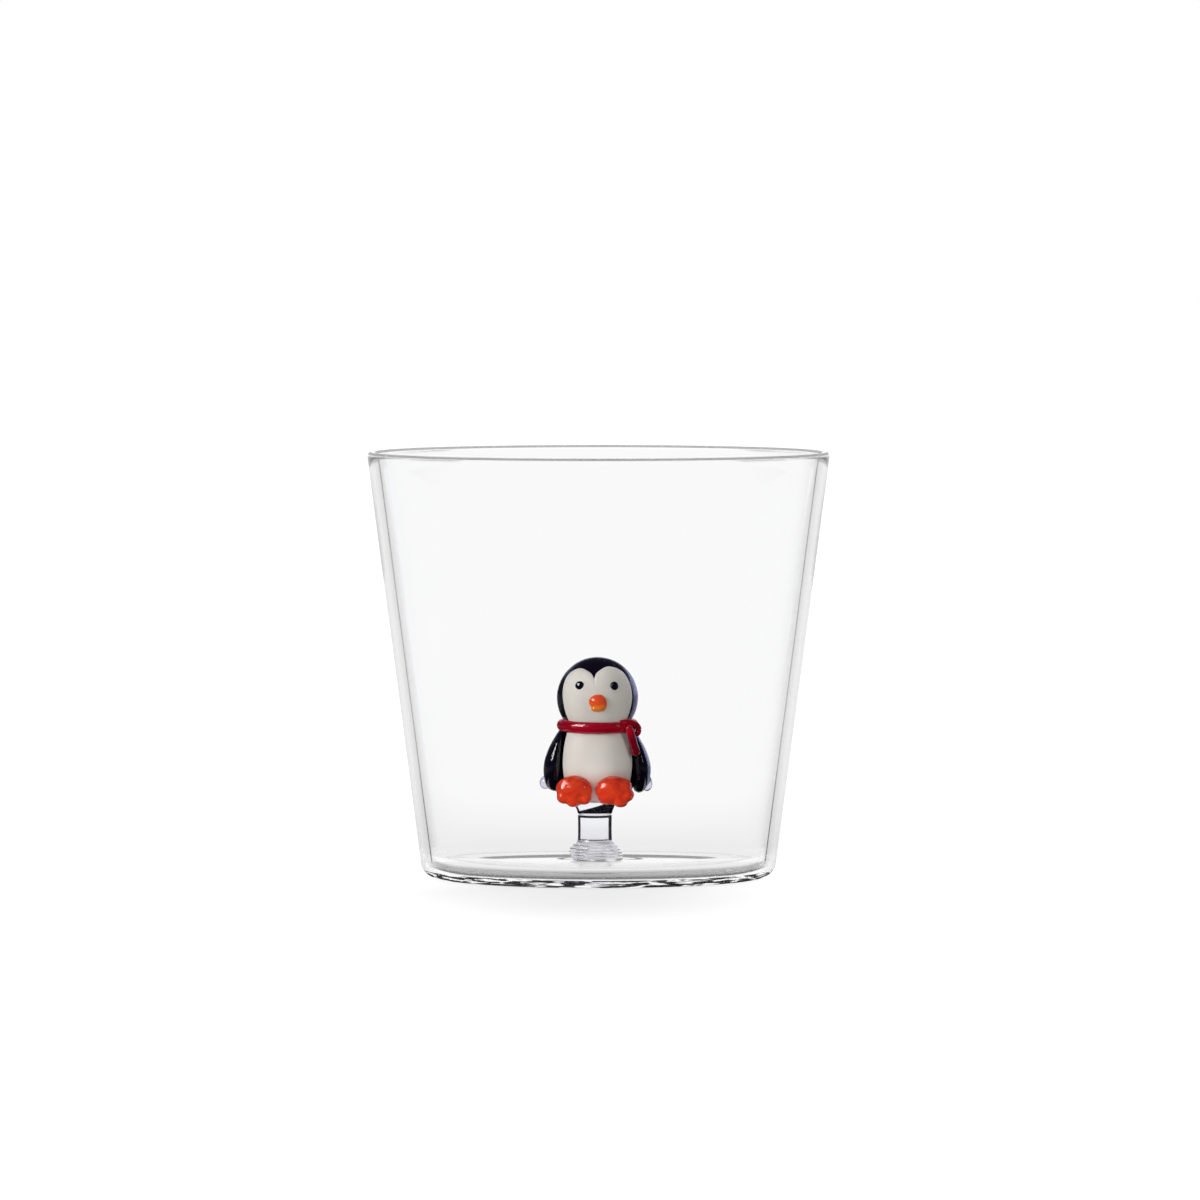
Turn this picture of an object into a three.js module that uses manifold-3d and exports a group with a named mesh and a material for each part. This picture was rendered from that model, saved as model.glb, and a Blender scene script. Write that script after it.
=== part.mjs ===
// A flared clear glass tumbler with a small flame-worked glass penguin standing inside it.
// Millimetres, +Z up, origin at the middle of the resting plane, the penguin faces -Y.
import * as THREE from 'three';
import { mergeVertices } from 'three/addons/utils/BufferGeometryUtils.js';
import Module from 'manifold-3d';

// Every piece is fused to its neighbour; the solids stay apart by this much.
const FUSE_GAP = 0.25;

// Tumbler
const HEIGHT = 83;
const RIM_DIAMETER = 90;
const BASE_DIAMETER = 68.6;
const WALL = 2.2;
const FLOOR = 2.9;
const HEEL_RADIUS = 3;
const CORNER_RADIUS = 3.4;
const RESTING_RING = 6;
const PUNT_DEPTH = 0.6;
const MOAT_WIDTH = 5;
const FLOOR_SWELL = 0.4;

// Post, a little left of the tumbler's axis
const POST_OFFSET = -0.6;
const BASE_GATHER_DIAMETER = 9.8;
const BASE_GATHER_HEIGHT = 3.5;
const GATHER_RINGS = 3;
const RING_SWELL = 0.45;
const STEM_DIAMETER = 6.45;
const STEM_LENGTH = 5;
const CAP_DIAMETER = 7.6;
const CAP_HEIGHT = 2;

// Penguin's body and head
const FIGURE_OFFSET = -0.2;
const BODY_WIDTH = 14.6;
const BODY_DEPTH = 13.4;
const BODY_HEIGHT = 14.3;
const WAIST_HEIGHT = 5.6;
const SEAT_DIAMETER = 7.2;
const NECK_DIAMETER = 10.8;
const HEAD_DIAMETER = 15.8;

// White belly and face, thickest in the middle and thinner at the edge
const BELLY_WIDTH = 13.4;
const BELLY_TOP_WIDTH = 11.6;
const BELLY_RISE = 8;
const BELLY_BULGE = 1.1;
const FACE_BULGE = 0.8;
const PATCH_EDGE = 0.5;

// Eyes and beak
const EYE_DIAMETER = 1.95;
const EYE_LONGITUDE = 24.5;
const EYE_LATITUDE = 17;
const BEAK_WIDTH = 3.2;
const BEAK_HEIGHT = 2.4;
const BEAK_REACH = 2;
const BEAK_LATITUDE = -4;
const BEAK_DROOP = 1.2;

// Scarf
const SCARF_HEIGHT = 2.7;
const SCARF_THICKNESS = 2.4;
const SCARF_RISE = 0.45;
const CURL_DIAMETER = 1.7;
const TAIL_DIAMETER = 1.75;
const TAIL_DROP = 3.6;
const TAIL_LONGITUDE = 56;

// Wings and the clear drops behind their tips
const WING_LENGTH = 12;
const WING_DEPTH = 8.4;
const WING_THICKNESS = 4.7;
const WING_DROP = 6.6;
const WING_OUTSET = 0.55;
const WING_TILT = 9;
const WING_TAPER = 0.16;
const DROP_DIAMETER = 3;

// Feet
const FOOT_WIDTH = 6.8;
const FOOT_HEIGHT = 4.4;
const FOOT_DEPTH = 5;
const FOOT_RISE = 2.9;
const FOOT_STANCE = 3.8;
const FEET_SHIFT = -0.75;
const TOE_COUNT = 3;
const TOE_DIAMETER = 3.2;
const TOE_FAN = 47;
const LEFT_FOOT_TURN = 4;
const RIGHT_FOOT_TURN = 20;

const wasm = await Module();
wasm.setup();

const radians = THREE.MathUtils.degToRad;

function glass(color, roughness, opacity = 1) {
  return new THREE.MeshStandardMaterial({
    color,
    roughness,
    metalness: 0,
    opacity,
    transparent: opacity < 1,
  });
}

const clearGlass = glass(0xf1f2f6, 0.02, 0.28);
const blackGlass = glass(0x14101e, 0.05);
const whiteGlass = glass(0xe4dfd6, 0.12);
const redGlass = glass(0x8e0c1c, 0.1);
const orangeGlass = glass(0xc43a20, 0.1);
const beakGlass = glass(0xcc5a2a, 0.1);

// A closed surface as a solid that can be joined and cut.
function solidOf(geometry) {
  const bare = geometry.clone();
  bare.deleteAttribute('normal');
  bare.deleteAttribute('uv');
  const merged = mergeVertices(bare, 1e-4);
  const corners = merged.index.array;
  const kept = [];
  for (let i = 0; i < corners.length; i += 3) {
    const [a, b, c] = [corners[i], corners[i + 1], corners[i + 2]];
    if (a !== b && b !== c && c !== a) kept.push(a, b, c);
  }
  const surface = new wasm.Mesh({
    numProp: 3,
    vertProperties: new Float32Array(merged.attributes.position.array),
    triVerts: new Uint32Array(kept),
  });
  return new wasm.Manifold(surface);
}

function geometryOf(solid) {
  const surface = solid.getMesh();
  const geometry = new THREE.BufferGeometry();
  const points = new THREE.BufferAttribute(new Float32Array(surface.vertProperties), 3);
  geometry.setAttribute('position', points);
  geometry.setIndex(new THREE.BufferAttribute(new Uint32Array(surface.triVerts), 1));
  geometry.computeVertexNormals();
  return geometry;
}

function join(solids) {
  return solids.reduce((whole, next) => whole.add(next));
}

// Cuts the neighbours out of a piece and keeps its main part without any slivers.
function cutBy(solid, neighbours) {
  const parts = neighbours.reduce((rest, next) => rest.subtract(next), solid).decompose();
  return parts.sort((a, b) => b.volume() - a.volume())[0];
}

function piece(name, geometry, material) {
  const mesh = new THREE.Mesh(geometry, material);
  mesh.name = name;
  return mesh;
}

// A profile of (radius, height) points turned about the Z axis.
function turned(profile, segments) {
  const points = profile.map(([radius, height]) => new THREE.Vector2(radius, height));
  return new THREE.LatheGeometry(points, segments).rotateX(Math.PI / 2);
}

function arc(centreRadius, centreHeight, radius, from, to, steps) {
  const points = [];
  for (let i = 0; i <= steps; i += 1) {
    const angle = from + ((to - from) * i) / steps;
    points.push([centreRadius + radius * Math.cos(angle), centreHeight + radius * Math.sin(angle)]);
  }
  return points;
}

// A ball of glass stretched to three radii; taper narrows its top and widens its bottom.
function ball(radii, { at = [0, 0, 0], tilt = 0, turn = 0, taper = 0, detail = 20 } = {}) {
  const geometry = new THREE.SphereGeometry(1, detail, Math.round(detail * 0.6)).rotateX(Math.PI / 2);
  const points = geometry.attributes.position;
  for (let i = 0; i < points.count; i += 1) {
    const narrowing = 1 - taper * points.getZ(i);
    points.setX(i, points.getX(i) * narrowing);
    points.setY(i, points.getY(i) * narrowing);
  }
  geometry.scale(...radii).rotateY(radians(tilt)).rotateZ(radians(turn)).translate(...at);
  return solidOf(geometry);
}

// A rod of round glass along a curve, with ball ends.
function rod(points, radius, steps) {
  const path = new THREE.CatmullRomCurve3(points);
  const section = new THREE.Shape().absarc(0, 0, radius, 0, 2 * Math.PI);
  const length = new THREE.ExtrudeGeometry(section, {
    steps,
    curveSegments: 6,
    bevelEnabled: false,
    extrudePath: path,
  });
  const ends = [points[0], points[points.length - 1]];
  const caps = ends.map((end) => ball([radius, radius, radius], { at: end.toArray(), detail: 12 }));
  return join([solidOf(length), ...caps]);
}

// Tumbler: the middle of its wall runs straight from the base to the centre of the round lip.
const midBase = (BASE_DIAMETER - WALL) / 2;
const midRim = (RIM_DIAMETER - WALL) / 2;
const lean = Math.atan((midRim - midBase) / (HEIGHT - WALL / 2));
const floorTop = FLOOR + FLOOR_SWELL;

function wallRadius(height, outset) {
  return midBase + height * Math.tan(lean) + outset / Math.cos(lean);
}

function tumblerProfile() {
  const heelRadius = wallRadius(HEEL_RADIUS, WALL / 2 - HEEL_RADIUS);
  const puntRadius = heelRadius - RESTING_RING;
  const puntSphere = (puntRadius ** 2 + PUNT_DEPTH ** 2) / (2 * PUNT_DEPTH);
  const puntAngle = Math.asin(puntRadius / puntSphere);
  const up = Math.PI / 2;
  const punt = arc(0, PUNT_DEPTH - puntSphere, puntSphere, up, up - puntAngle, 3);
  const heel = arc(heelRadius, HEEL_RADIUS, HEEL_RADIUS, -up, -lean, 5);
  const lip = arc(midRim, HEIGHT - WALL / 2, WALL / 2, -lean, Math.PI - lean, 6);
  const cornerHeight = FLOOR + CORNER_RADIUS;
  const cornerRadius = wallRadius(cornerHeight, -WALL / 2 - CORNER_RADIUS);
  const corner = arc(cornerRadius, cornerHeight, CORNER_RADIUS, -lean, -up, 5);
  const swellFoot = cornerRadius - MOAT_WIDTH;
  const seat = BASE_GATHER_DIAMETER / 2 + RING_SWELL + Math.abs(POST_OFFSET) + WALL;
  const swell = [];
  for (let i = 0; i <= 4; i += 1) {
    const share = i / 4;
    const rise = (FLOOR_SWELL * (1 - Math.cos(Math.PI * share))) / 2;
    swell.push([swellFoot + (seat - swellFoot) * share, FLOOR + rise]);
  }
  return [...punt, ...heel, ...lip, ...corner, ...swell, [0, floorTop]];
}

// Post: a ringed gather on the floor, a plain stem and a flared cap, stacked with fuse gaps.
const stemRadius = STEM_DIAMETER / 2;
const baseBottom = floorTop + FUSE_GAP;
const stemBottom = baseBottom + BASE_GATHER_HEIGHT + FUSE_GAP;
const capBottom = stemBottom + STEM_LENGTH + FUSE_GAP;
const figureBottom = capBottom + CAP_HEIGHT + FUSE_GAP;

function gatherProfile() {
  const side = [];
  const steps = 4 * GATHER_RINGS;
  for (let i = 0; i <= steps; i += 1) {
    const share = i / steps;
    const shoulder = stemRadius + (BASE_GATHER_DIAMETER / 2 - stemRadius) * Math.cos((share * Math.PI) / 2);
    const ring = RING_SWELL * Math.abs(Math.sin(GATHER_RINGS * Math.PI * share));
    side.push([shoulder + ring, BASE_GATHER_HEIGHT * share]);
  }
  return [[0, 0], ...side, [0, BASE_GATHER_HEIGHT]];
}

function capProfile(grow = 0) {
  const side = [];
  for (let i = 0; i <= 5; i += 1) {
    const flare = (CAP_DIAMETER / 2 - stemRadius) * Math.sin((i / 5) * (Math.PI / 2));
    side.push([stemRadius + flare + grow, (CAP_HEIGHT * i) / 5]);
  }
  return [[0, -grow], [stemRadius + grow, -grow], ...side, [side[5][0], CAP_HEIGHT + grow], [0, CAP_HEIGHT + grow]];
}

// Body: an egg, two half ellipses that meet at the waist and end at the seat and at the neck.
const bodyRadius = BODY_WIDTH / 2;

function eggRadius(height) {
  const below = height < WAIST_HEIGHT;
  const endDiameter = below ? SEAT_DIAMETER : NECK_DIAMETER;
  const endDistance = below ? WAIST_HEIGHT : BODY_HEIGHT - WAIST_HEIGHT;
  const narrowing = 1 - (endDiameter / BODY_WIDTH) ** 2;
  const share = (height - WAIST_HEIGHT) / endDistance;
  return bodyRadius * Math.sqrt(1 - narrowing * share * share);
}

function bodySolid(grow, forward = 0) {
  const side = [];
  for (let i = 0; i <= 10; i += 1) {
    const height = (BODY_HEIGHT * i) / 10;
    side.push([eggRadius(height) + grow, height]);
  }
  const profile = [[0, -grow], [SEAT_DIAMETER / 2 + grow, -grow], ...side];
  profile.push([NECK_DIAMETER / 2 + grow, BODY_HEIGHT + grow], [0, BODY_HEIGHT + grow]);
  const egg = turned(grow > 0 ? profile : [[0, 0], ...side, [0, BODY_HEIGHT]], 28);
  const flattening = (BODY_DEPTH / 2 + grow) / (bodyRadius + grow);
  return solidOf(egg.scale(1, flattening, 1).translate(0, -forward, 0));
}

// Head: a ball with a flat at the neck.
const headRadius = HEAD_DIAMETER / 2;
const neckBelowHead = Math.sqrt(headRadius ** 2 - (NECK_DIAMETER / 2) ** 2);
const headCentre = BODY_HEIGHT + FUSE_GAP + neckBelowHead;

function headSolid(grow, forward = 0) {
  const flat = -Math.asin(neckBelowHead / headRadius);
  const side = arc(0, 0, headRadius + grow, flat, Math.PI / 2, 12);
  const bottom = side[0][1];
  const whole = [[0, bottom], ...side.slice(0, -1), [0, headRadius + grow]];
  return solidOf(turned(whole, 28).translate(0, -forward, headCentre));
}

function onHead(longitude, latitude, distance) {
  const [east, north] = [radians(longitude), radians(latitude)];
  return [
    distance * Math.cos(north) * Math.sin(east),
    -distance * Math.cos(north) * Math.cos(east),
    headCentre + distance * Math.sin(north),
  ];
}

// The part of a dome that lies inside an outline drawn on its front.
function patch(dome, outline, reach) {
  const front = new THREE.ExtrudeGeometry(outline, {
    depth: reach,
    curveSegments: 6,
    bevelEnabled: false,
  });
  return dome.intersect(solidOf(front.rotateX(Math.PI / 2)));
}

// The face is a heart: two lobes that meet in a notch over the beak, in head radii.
function faceOutline(grow) {
  const size = headRadius + grow;
  const at = (across, up) => new THREE.Vector2(across * size, headCentre + up * size);
  const outline = new THREE.Shape();
  outline.moveTo(-0.6 * size, headCentre - 0.72 * size);
  outline.splineThru([at(-0.8, -0.32), at(-0.87, 0.19), at(-0.72, 0.58), at(-0.43, 0.74), at(-0.08, 0.53)]);
  outline.splineThru([at(0.28, 0.78), at(0.66, 0.63), at(0.86, 0.17), at(0.8, -0.32), at(0.6, -0.72)]);
  return outline;
}

function faceSolid(grow) {
  const dome = headSolid(PATCH_EDGE + grow, FACE_BULGE - PATCH_EDGE);
  return patch(dome, faceOutline(grow), HEAD_DIAMETER);
}

// The belly widens from under the scarf and narrows to a round end between the feet.
function bellyOutline(grow) {
  const wide = BELLY_WIDTH / 2 + grow;
  const top = BELLY_TOP_WIDTH / 2 + grow;
  const high = BODY_HEIGHT + grow;
  const outline = new THREE.Shape();
  outline.moveTo(top, high);
  outline.lineTo(-top, high);
  outline.quadraticCurveTo(-wide, (BODY_HEIGHT + BELLY_RISE) / 2, -wide, BELLY_RISE);
  outline.bezierCurveTo(-wide, BELLY_RISE / 4, -wide * 0.55, -grow, 0, -grow);
  outline.bezierCurveTo(wide * 0.55, -grow, wide, BELLY_RISE / 4, wide, BELLY_RISE);
  outline.quadraticCurveTo(wide, (BODY_HEIGHT + BELLY_RISE) / 2, top, high);
  return outline;
}

function bellySolid(grow) {
  const dome = bodySolid(PATCH_EDGE + grow, BELLY_BULGE - PATCH_EDGE);
  return patch(dome, bellyOutline(grow), BODY_WIDTH);
}

function eyeSolid(side) {
  const radius = EYE_DIAMETER / 2;
  const at = onHead(side * EYE_LONGITUDE, EYE_LATITUDE, headRadius + FACE_BULGE - radius / 4);
  return ball([radius, radius, radius], { at, detail: 14 });
}

function beakSolid() {
  const out = headRadius + FACE_BULGE;
  const [x, y, z] = onHead(0, BEAK_LATITUDE, out);
  const upper = ball([BEAK_WIDTH / 2, BEAK_REACH, BEAK_HEIGHT / 2], { at: [x, y, z], detail: 16 });
  const lowerRadii = [BEAK_WIDTH * 0.43, BEAK_REACH * 0.85, BEAK_HEIGHT * 0.42];
  const lower = ball(lowerRadii, { at: [x, y, z - BEAK_DROOP], detail: 14 });
  return join([upper, lower]);
}

// Scarf: a ring around the neck, a folded end over its right side and a hanging tail.
const scarfHeight = BODY_HEIGHT + FUSE_GAP / 2 + SCARF_RISE;
const scarfRadius = NECK_DIAMETER / 2 + SCARF_THICKNESS / 2 + FUSE_GAP;

function scarfSolid(grow) {
  const ring = new THREE.TorusGeometry(scarfRadius, SCARF_THICKNESS / 2 + grow, 10, 30);
  const flattening = (SCARF_HEIGHT / 2 + grow) / (SCARF_THICKNESS / 2 + grow);
  return solidOf(ring.scale(1, 1, flattening).translate(0, 0, scarfHeight));
}

function aroundNeck(longitude, outset, rise) {
  const angle = radians(longitude);
  const radius = scarfRadius + outset;
  return new THREE.Vector3(radius * Math.sin(angle), -radius * Math.cos(angle), scarfHeight + rise);
}

function curlSolid(grow) {
  const over = SCARF_THICKNESS / 2;
  const path = [
    aroundNeck(54, over * 0.75, SCARF_HEIGHT * 0.26),
    aroundNeck(74, over, SCARF_HEIGHT * 0.26),
    aroundNeck(84, over, -SCARF_HEIGHT * 0.08),
    aroundNeck(76, over, -SCARF_HEIGHT * 0.42),
  ];
  return rod(path, CURL_DIAMETER / 2 + grow, 9);
}

function tailSolid(grow) {
  const path = [];
  for (let i = 0; i <= 3; i += 1) {
    const height = BODY_HEIGHT - SCARF_HEIGHT / 2 - (TAIL_DROP * i) / 3;
    const angle = radians(TAIL_LONGITUDE);
    const proud = BELLY_BULGE + TAIL_DIAMETER / 2 + FUSE_GAP;
    const across = eggRadius(height) + proud;
    const deep = (eggRadius(height) * BODY_DEPTH) / BODY_WIDTH + proud;
    path.push(new THREE.Vector3(across * Math.sin(angle), -deep * Math.cos(angle), height));
  }
  return rod(path, TAIL_DIAMETER / 2 + grow, 6);
}

// Wings hang from the neck along the sides of the body, tips down and out.
function wingCentre(side) {
  return [side * (bodyRadius + WING_OUTSET), FUSE_GAP, BODY_HEIGHT - WING_DROP];
}

function wingSolid(side, grow) {
  const radii = [WING_THICKNESS / 2 + grow, WING_DEPTH / 2 + grow, WING_LENGTH / 2 + grow];
  return ball(radii, { at: wingCentre(side), tilt: -side * WING_TILT, taper: WING_TAPER });
}

function dropSolid(side) {
  const [x, y, z] = wingCentre(side);
  const radius = DROP_DIAMETER / 2;
  const out = (WING_LENGTH / 2) * Math.sin(radians(WING_TILT));
  const at = [x + side * (out + radius * 0.6), y + WING_DEPTH / 5, z - WING_LENGTH / 3.2];
  return ball([radius, radius, radius], { at, detail: 12 });
}

// Feet: a pad with toes fanned along its lower edge.
function footSolid(side, grow) {
  const turn = side < 0 ? -LEFT_FOOT_TURN : RIGHT_FOOT_TURN;
  const x = side * FOOT_STANCE + FEET_SHIFT;
  const y = -BODY_DEPTH / 2 - BELLY_BULGE / 2;
  const radii = [FOOT_WIDTH / 2 + grow, FOOT_DEPTH / 2 + grow, FOOT_HEIGHT / 2 + grow];
  const pad = ball(radii, { at: [x, y, FOOT_RISE], tilt: -turn / 2 });
  const toeRadius = TOE_DIAMETER / 2;
  const toes = [];
  for (let i = 0; i < TOE_COUNT; i += 1) {
    const fan = radians(turn + TOE_FAN * (i - (TOE_COUNT - 1) / 2));
    const across = x + (FOOT_WIDTH / 2 - toeRadius * 0.45) * Math.sin(fan);
    const down = FOOT_RISE - (FOOT_HEIGHT / 2 - toeRadius * 0.12) * Math.cos(fan);
    const size = toeRadius + grow;
    toes.push(ball([size, size * 1.15, size], { at: [across, y - FOOT_DEPTH * 0.12, down], detail: 14 }));
  }
  return join([pad, ...toes]);
}

function tumblerWithPost() {
  const tumbler = piece('tumbler', turned(tumblerProfile(), 56), clearGlass);
  const post = new THREE.Group();
  post.position.x = POST_OFFSET;
  const base = piece('post_base', turned(gatherProfile(), 24), clearGlass);
  base.position.z = baseBottom;
  const stemShape = new THREE.CylinderGeometry(stemRadius, stemRadius, STEM_LENGTH, 24);
  const stem = piece('post_stem', stemShape.rotateX(Math.PI / 2), clearGlass);
  stem.position.z = stemBottom + STEM_LENGTH / 2;
  const cap = piece('post_cap', turned(capProfile(), 24), clearGlass);
  cap.position.z = capBottom;
  post.add(base, stem, cap);
  return [tumbler, post];
}

function penguin() {
  const figure = new THREE.Group();
  figure.position.set(FIGURE_OFFSET, 0, figureBottom);
  const capShift = [POST_OFFSET - FIGURE_OFFSET, 0, capBottom - figureBottom];
  const cap = solidOf(turned(capProfile(FUSE_GAP), 24).translate(...capShift));
  const around = bodySolid(FUSE_GAP);
  const head = headSolid(FUSE_GAP);
  const belly = bellySolid(FUSE_GAP);
  const face = faceSolid(FUSE_GAP);
  const scarf = scarfSolid(FUSE_GAP);
  const wings = [wingSolid(-1, FUSE_GAP), wingSolid(1, FUSE_GAP)];
  const trunk = [around, head, belly, face];

  const add = (name, solid, material) => figure.add(piece(name, geometryOf(solid), material));
  add('body', bodySolid(0), blackGlass);
  add('head', headSolid(0), blackGlass);
  const bellyFlat = cutBy(bellySolid(0), [around, head, scarf, cap]);
  add('belly', bellyFlat, whiteGlass);
  add('face', cutBy(faceSolid(0), [head, around, scarf, belly]), whiteGlass);
  add('left_eye', cutBy(eyeSolid(-1), [head, face]), blackGlass);
  add('right_eye', cutBy(eyeSolid(1), [head, face]), blackGlass);
  add('beak', cutBy(beakSolid(), [head, face]), beakGlass);
  add('scarf_band', cutBy(scarfSolid(0), [around, head]), redGlass);
  add('scarf_curl', cutBy(curlSolid(0), [...trunk, scarf, ...wings]), redGlass);
  add('scarf_tail', cutBy(tailSolid(0), [...trunk, scarf, ...wings]), redGlass);
  add('left_wing', cutBy(wingSolid(-1, 0), [...trunk, scarf]), blackGlass);
  add('right_wing', cutBy(wingSolid(1, 0), [...trunk, scarf]), blackGlass);
  const footBlocks = [...trunk, cap, ...wings];
  add('left_foot', cutBy(footSolid(-1, 0), footBlocks), orangeGlass);
  add('right_foot', cutBy(footSolid(1, 0), [...footBlocks, footSolid(-1, FUSE_GAP)]), orangeGlass);
  add('left_drop', cutBy(dropSolid(-1), [...trunk, ...wings]), clearGlass);
  add('right_drop', cutBy(dropSolid(1), [...trunk, ...wings]), clearGlass);
  return figure;
}

const root = new THREE.Group();
root.name = 'penguin_tumbler';
root.add(...tumblerWithPost(), penguin());

export default root;
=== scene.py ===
import math

import bmesh
import bpy
import numpy as np
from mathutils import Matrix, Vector


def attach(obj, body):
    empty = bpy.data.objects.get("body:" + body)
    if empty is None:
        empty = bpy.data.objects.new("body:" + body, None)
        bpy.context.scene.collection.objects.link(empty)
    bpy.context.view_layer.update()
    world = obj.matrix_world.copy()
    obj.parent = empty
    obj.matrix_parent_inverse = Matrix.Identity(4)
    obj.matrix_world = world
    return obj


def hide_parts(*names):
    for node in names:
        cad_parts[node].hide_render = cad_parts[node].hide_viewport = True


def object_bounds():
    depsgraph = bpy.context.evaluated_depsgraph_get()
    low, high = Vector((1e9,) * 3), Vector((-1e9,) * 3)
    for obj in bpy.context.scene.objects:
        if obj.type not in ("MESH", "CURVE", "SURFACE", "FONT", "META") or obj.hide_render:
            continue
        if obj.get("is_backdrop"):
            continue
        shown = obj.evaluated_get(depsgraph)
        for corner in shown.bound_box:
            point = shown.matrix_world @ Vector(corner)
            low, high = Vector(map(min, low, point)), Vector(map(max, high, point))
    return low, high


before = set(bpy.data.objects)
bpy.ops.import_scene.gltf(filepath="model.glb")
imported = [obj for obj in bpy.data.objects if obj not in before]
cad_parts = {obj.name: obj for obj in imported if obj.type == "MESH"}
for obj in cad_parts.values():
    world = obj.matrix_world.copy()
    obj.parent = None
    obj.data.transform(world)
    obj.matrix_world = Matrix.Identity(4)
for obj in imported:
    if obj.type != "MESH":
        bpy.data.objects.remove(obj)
cad_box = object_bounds()
scene = bpy.context.scene
MM = 0.001
FULL_TURN = 2 * math.pi
GLASS_IOR = 1.5

# sizes read from the photograph, in millimetres

HEIGHT = 83.0
WALL_LEAN = math.radians(7.44)
WALL_MIDDLE_AT_FOOT = 33.2
HALF_WALL = 1.1
HEEL_RADIUS = 3.2
CORNER_RADIUS = 3.0
FLOOR_TOP = 2.85
LIP_THINNING = 0.3
PUNT_DEPTH = 0.6
PUNT_RADIUS = 25.7
FLOOR_RING_RADIUS = 25.0
FLOOR_SWELL = 0.2
POST_X = -0.7
STEM_RADIUS = 3.3
STEM_FOOT = 7.4
COLLAR_Z = 12.0
CAP_TOP = 15.2
RING_PITCH = 0.66
RING_RELIEF = 0.13
RINGS_FROM = 3.2
FIGURE_X = -0.2
BODY_FOOT = 14.8
BODY_TOP = 29.3
WAIST = 5.6
BODY_RADIUS = 7.3
BODY_DEPTH_SHARE = 0.918
SEAT_RADIUS = 3.6
NECK_RADIUS = 5.4
HEAD_RADIUS = 7.9
HEAD_Z = 35.12
HALF_VIEW = 116.95
VIEW_DISTANCE = 2001.8


# small helpers for nodes and meshes


class Result:
    """What a node gives: its first output, or another by name. A sum written with results adds
    the nodes that work it out, so that a finish reads as a formula."""

    def __init__(self, node, name=0):
        self.node, self.tree = node, node.id_data
        self.socket = node.outputs[name] if len(node.outputs) else None

    def __getitem__(self, name):
        return Result(self.node, name)

    def __iter__(self):
        return (Result(self.node, k) for k in range(len(self.node.outputs)))

    def __add__(self, other):
        return reckon("ADD", self, other)

    def __sub__(self, other):
        return reckon("SUBTRACT", self, other)

    def __rsub__(self, other):
        return reckon("SUBTRACT", other, self)

    def __mul__(self, other):
        return reckon("MULTIPLY", self, other)

    def __truediv__(self, other):
        return reckon("DIVIDE", self, other)

    def __rtruediv__(self, other):
        return reckon("DIVIDE", other, self)

    def __gt__(self, other):
        return reckon("GREATER_THAN", self, other)

    def __lt__(self, other):
        return reckon("LESS_THAN", self, other)

    __radd__ = __add__
    __rmul__ = __mul__


def place(tree, kind, inputs=None, **settings):
    """Adds a node to a tree. An input is a plain value or another node's result."""
    node = tree.nodes.new(kind)
    for name, value in settings.items():
        setattr(node, name, value)
    for name, value in (inputs or {}).items():
        if isinstance(value, Result):
            tree.links.new(value.socket, node.inputs[name])
        else:
            node.inputs[name].default_value = value
    return Result(node)


def reckon(operation, first, second=0.0, third=0.0, clamp=False):
    """One step of arithmetic, in the tree that its results come from."""
    tree = next(value.tree for value in (first, second, third) if isinstance(value, Result))
    sockets = {0: first, 1: second, 2: third}
    return place(tree, "ShaderNodeMath", sockets, operation=operation, use_clamp=clamp)


def ease(value, low, high, at_low=0.0, at_high=1.0):
    """A soft step from one number to another as value goes from low to high."""
    limits = {"From Min": low, "From Max": high, "To Min": at_low, "To Max": at_high}
    sockets = {"Value": value, **limits}
    return place(value.tree, "ShaderNodeMapRange", sockets, interpolation_type="SMOOTHSTEP")


def between(value, low, high, soft):
    """1 where a value lies between two limits, with soft ends."""
    return ease(value, low - soft, low) * ease(value, high, high + soft, 1, 0)


def strongest(*values):
    total = values[0]
    for value in values[1:]:
        total = reckon("MAXIMUM", total, value)
    return total


def length_of(along, across):
    return reckon("SQRT", along * along + across * across)


def parts(vector):
    return place(vector.tree, "ShaderNodeSeparateXYZ", {0: vector})


def close_up(mesh, gap):
    """Joins points less than a gap apart, in metres, and turns every face outward."""
    shell = bmesh.new()
    shell.from_mesh(mesh)
    bmesh.ops.remove_doubles(shell, verts=shell.verts, dist=gap)
    bmesh.ops.recalc_face_normals(shell, faces=shell.faces)
    shell.to_mesh(mesh)
    shell.free()
    mesh.shade_smooth()
    return mesh


def tidy_mesh(name, points, faces):
    """A closed smooth mesh from points in millimetres."""
    mesh = bpy.data.meshes.new(name)
    mesh.from_pydata((np.asarray(points) * MM).tolist(), [], faces)
    return close_up(mesh, 1e-7)


def set_piece(name, mesh, material, slot, *nodes):
    """Puts a finished mesh in the scene as a piece that stands for its CAD nodes."""
    mesh.name = name
    mesh.materials.clear()
    mesh.materials.append(material)
    piece = bpy.data.objects.new(name, mesh)
    scene.collection.objects.link(piece)
    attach(piece, "root")
    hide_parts(*nodes)
    return piece


def loft(name, rings, first, last):
    """A closed skin over rings of points, drawn to a point at each end."""
    around = len(rings[0])
    points = np.vstack(list(rings) + [[first], [last]])
    faces = []
    for k in range(len(rings) - 1):
        a, b = k * around, (k + 1) * around
        for i in range(around):
            j = (i + 1) % around
            faces.append((a + i, a + j, b + j, b + i))
    start, end = len(rings) * around, len(rings) * around + 1
    top = (len(rings) - 1) * around
    for i in range(around):
        j = (i + 1) % around
        faces.append((start, j, i))
        faces.append((end, top + i, top + j))
    return tidy_mesh(name, points, faces)


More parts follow.
